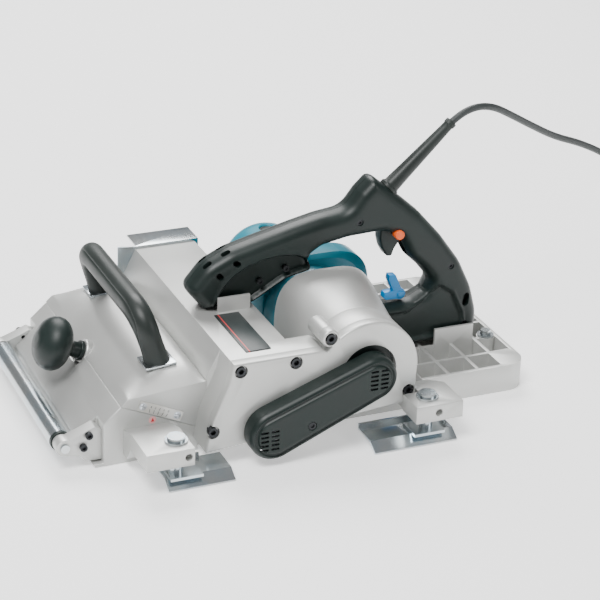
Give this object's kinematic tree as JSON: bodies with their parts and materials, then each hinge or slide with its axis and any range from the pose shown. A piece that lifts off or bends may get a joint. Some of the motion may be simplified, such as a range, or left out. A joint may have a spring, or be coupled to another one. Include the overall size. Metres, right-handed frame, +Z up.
{
  "type": "electric hand planer",
  "caption": "Wide electric beam planer with a belt-driven cutter drum, ribbed rear sole, sliding front sole on a roller, arch grip, D-handle with trigger and edge guides.",
  "frame": {"origin": "on the sole plane just behind the front lip of the rear sole, at mid width", "axes": "+X towards the rear end of the sole, +Y towards the chip mouth, -Y the belt side, +Z up"},
  "size_m": [1.281, 0.478, 0.3831],
  "materials": {
    "body_paint": "fine light warm-grey paint on cast aluminium",
    "dark_plastic": "dark green-grey moulded plastic with a fine grain",
    "soft_grip": "dark satin moulded grip",
    "teal_plastic": "glossy teal moulded plastic",
    "azure_plastic": "bright azure moulded plastic",
    "orange_plastic": "orange moulded plastic",
    "zinc": "bright zinc-plated steel",
    "steel": "ground steel",
    "black_screw": "blackened steel screws",
    "bare_alloy": "bare aluminium",
    "belt_rubber": "ribbed rubber belt",
    "lead_rubber": "black rubber sheath",
    "brass": "brass",
    "carbon": "pressed carbon",
    "core_iron": "stacked iron sheets",
    "label_film": "dark label with a red line and no text",
    "scale_film": "satin scale plate with ticks"
  },
  "bodies": {
    "frame": {"arch_grip": "soft_grip", "base_bolts": "zinc", "belt_cover": "dark_plastic", "brush_caps": "dark_plastic", "brush_springs": "steel", "brush_tubes": "brass", "cap_screws": "black_screw", "carbon_brushes": "carbon", "chute_cap": "zinc", "cord_guard": "soft_grip", "cover_screw": "black_screw", "drive_belt": "belt_rubber", "drum_bearings": "steel", "front_hood": "body_paint", "gearcase": "body_paint", "grip_bolts": "steel", "grip_plates": "zinc", "handle_far": "dark_plastic", "handle_near": "dark_plastic", "handle_screws": "steel", "housing_screws": "black_screw", "label_plate": "label_film", "lead_coil": "lead_rubber", "main_housing": "body_paint", "mains_lead": "lead_rubber", "motor_bearings": "steel", "motor_bracket": "body_paint", "motor_housing": "teal_plastic", "plug_body": "lead_rubber", "plug_pins": "brass", "rear_base": "body_paint", "rear_guide_bracket": "body_paint", "scale_plate": "scale_film", "scale_screws": "steel", "stator": "core_iron", "switch_body": "dark_plastic"},
    "front_base": {"front_base": "body_paint", "depth_nut": "brass", "roller_arms": "body_paint", "roller_shaft": "zinc", "arm_screws": "black_screw", "front_guide_bracket": "body_paint"},
    "front_roller": {"front_roller": "zinc"},
    "depth_knob": {"depth_knob": "dark_plastic", "depth_screw": "steel"},
    "cutter_drum": {"cutter_drum": "bare_alloy", "planer_blades": "steel", "blade_clamps": "steel", "clamp_bolts": "black_screw", "drum_pulley": "bare_alloy"},
    "armature": {"armature": "core_iron", "motor_pulley": "steel", "cooling_fan": "dark_plastic"},
    "trigger": {"trigger": "dark_plastic"},
    "lock_button": {"lock_button": "orange_plastic"},
    "lock_lever": {"lock_lever": "azure_plastic"},
    "front_guide": {"front_guide_rod": "zinc", "front_guide_plate": "zinc"},
    "rear_guide": {"rear_guide_rod": "zinc", "rear_guide_plate": "zinc"}
  },
  "joints": [
    {"name": "front_base_slide", "type": "slide", "parent": "frame", "child": "front_base", "axis": [-0.9121, 0, 0.4099], "range_m": [0, 0.00854]},
    {"name": "depth_knob_turn", "type": "hinge", "parent": "frame", "child": "depth_knob", "pos_m": [-0.21138, 0, 0.08377], "axis": [-0.9121, 0, 0.4099], "range_deg": [0, 770.4]},
    {"name": "roller_spin", "type": "hinge", "parent": "front_base", "child": "front_roller", "pos_m": [-0.285, 0, 0.032], "axis": [0, 1, 0], "continuous": true},
    {"name": "drum_spin", "type": "hinge", "parent": "frame", "child": "cutter_drum", "pos_m": [-0.028, 0, 0.044], "axis": [0, 1, 0], "continuous": true},
    {"name": "armature_spin", "type": "hinge", "parent": "frame", "child": "armature", "pos_m": [0.112, 0, 0.101], "axis": [0, 1, 0], "continuous": true},
    {"name": "trigger_pull", "type": "hinge", "parent": "frame", "child": "trigger", "pos_m": [0.212, -0.038, 0.229], "axis": [0, -1, 0], "range_deg": [0, 7], "stiffness_Nm_per_rad": 1.2, "springref_deg": -8.59},
    {"name": "lock_button_press", "type": "slide", "parent": "frame", "child": "lock_button", "axis": [0, 1, 0], "range_m": [0, 0.003], "stiffness_N_per_m": 400, "springref_m": -0.001},
    {"name": "lock_lever_turn", "type": "hinge", "parent": "frame", "child": "lock_lever", "pos_m": [0.238, -0.038, 0.119], "axis": [0, 1, 0], "range_deg": [0, 45]},
    {"name": "front_guide_lift", "type": "slide", "parent": "front_base", "child": "front_guide", "axis": [0, 0, 1], "range_m": [0, 0.005]},
    {"name": "rear_guide_lift", "type": "slide", "parent": "frame", "child": "rear_guide", "axis": [0, 0, 1], "range_m": [0, 0.005]}
  ],
  "couplings": [
    {"joint": "depth_knob_turn", "follows": "front_base_slide", "rad_per_m": 1570.8},
    {"joint": "armature_spin", "follows": "drum_spin", "ratio": 1.2857}
  ]
}
